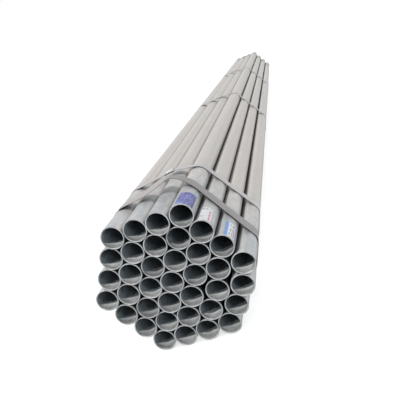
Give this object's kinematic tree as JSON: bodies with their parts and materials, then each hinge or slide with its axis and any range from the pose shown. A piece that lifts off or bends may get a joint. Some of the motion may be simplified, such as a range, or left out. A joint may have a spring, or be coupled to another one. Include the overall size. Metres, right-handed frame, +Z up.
{
  "type": "bundle of steel tubes",
  "caption": "Hexagonal bundle of round galvanised steel tubes, open at both ends and held by flat steel straps, with slack straps over the top.",
  "frame": {"origin": "centre of the bundle's footprint on the floor, halfway along its length", "axes": "+Y along the tubes, away from the labelled front end; +Z up, with the flat side of four tubes on top; +X to the right seen from the front end"},
  "size_m": [0.5432, 6.0286, 0.5223],
  "materials": {
    "zinc_tube": "galvanised, pale grey, mottled and streaked along its length",
    "front_strap": "dull taupe-grey steel band",
    "steel_strap": "dull galvanised steel band",
    "strap_seal": "crimped steel, worn bright on its edges",
    "label_blue_paper": "weathered blue-violet paper, matt",
    "label_white_paper": "white paper with plain colour blocks, matt"
  },
  "bodies": {
    "root": {"tube_1_1": "zinc_tube", "tube_1_2": "zinc_tube", "tube_1_3": "zinc_tube", "tube_1_4": "zinc_tube", "tube_2_1": "zinc_tube", "tube_2_2": "zinc_tube", "tube_2_3": "zinc_tube", "tube_2_4": "zinc_tube", "tube_2_5": "zinc_tube", "tube_3_1": "zinc_tube", "tube_3_2": "zinc_tube", "tube_3_3": "zinc_tube", "tube_3_4": "zinc_tube", "tube_3_5": "zinc_tube", "tube_3_6": "zinc_tube", "tube_4_1": "zinc_tube", "tube_4_2": "zinc_tube", "tube_4_3": "zinc_tube", "tube_4_4": "zinc_tube", "tube_4_5": "zinc_tube", "tube_4_6": "zinc_tube", "tube_4_7": "zinc_tube", "tube_5_1": "zinc_tube", "tube_5_2": "zinc_tube", "tube_5_3": "zinc_tube", "tube_5_4": "zinc_tube", "tube_5_5": "zinc_tube", "tube_5_6": "zinc_tube", "tube_6_1": "zinc_tube", "tube_6_2": "zinc_tube", "tube_6_3": "zinc_tube", "tube_6_4": "zinc_tube", "tube_6_5": "zinc_tube", "tube_7_1": "zinc_tube", "tube_7_2": "zinc_tube", "tube_7_3": "zinc_tube", "tube_7_4": "zinc_tube", "strap_1": "front_strap", "strap_2": "steel_strap", "strap_3": "steel_strap", "strap_4": "steel_strap", "strap_5": "steel_strap", "seal_1": "strap_seal", "seal_2": "strap_seal", "seal_3": "strap_seal", "seal_4": "strap_seal", "seal_5": "strap_seal", "label_blue": "label_blue_paper", "label_red_bar": "label_white_paper", "label_light_blue": "label_white_paper"}
  },
  "joints": []
}
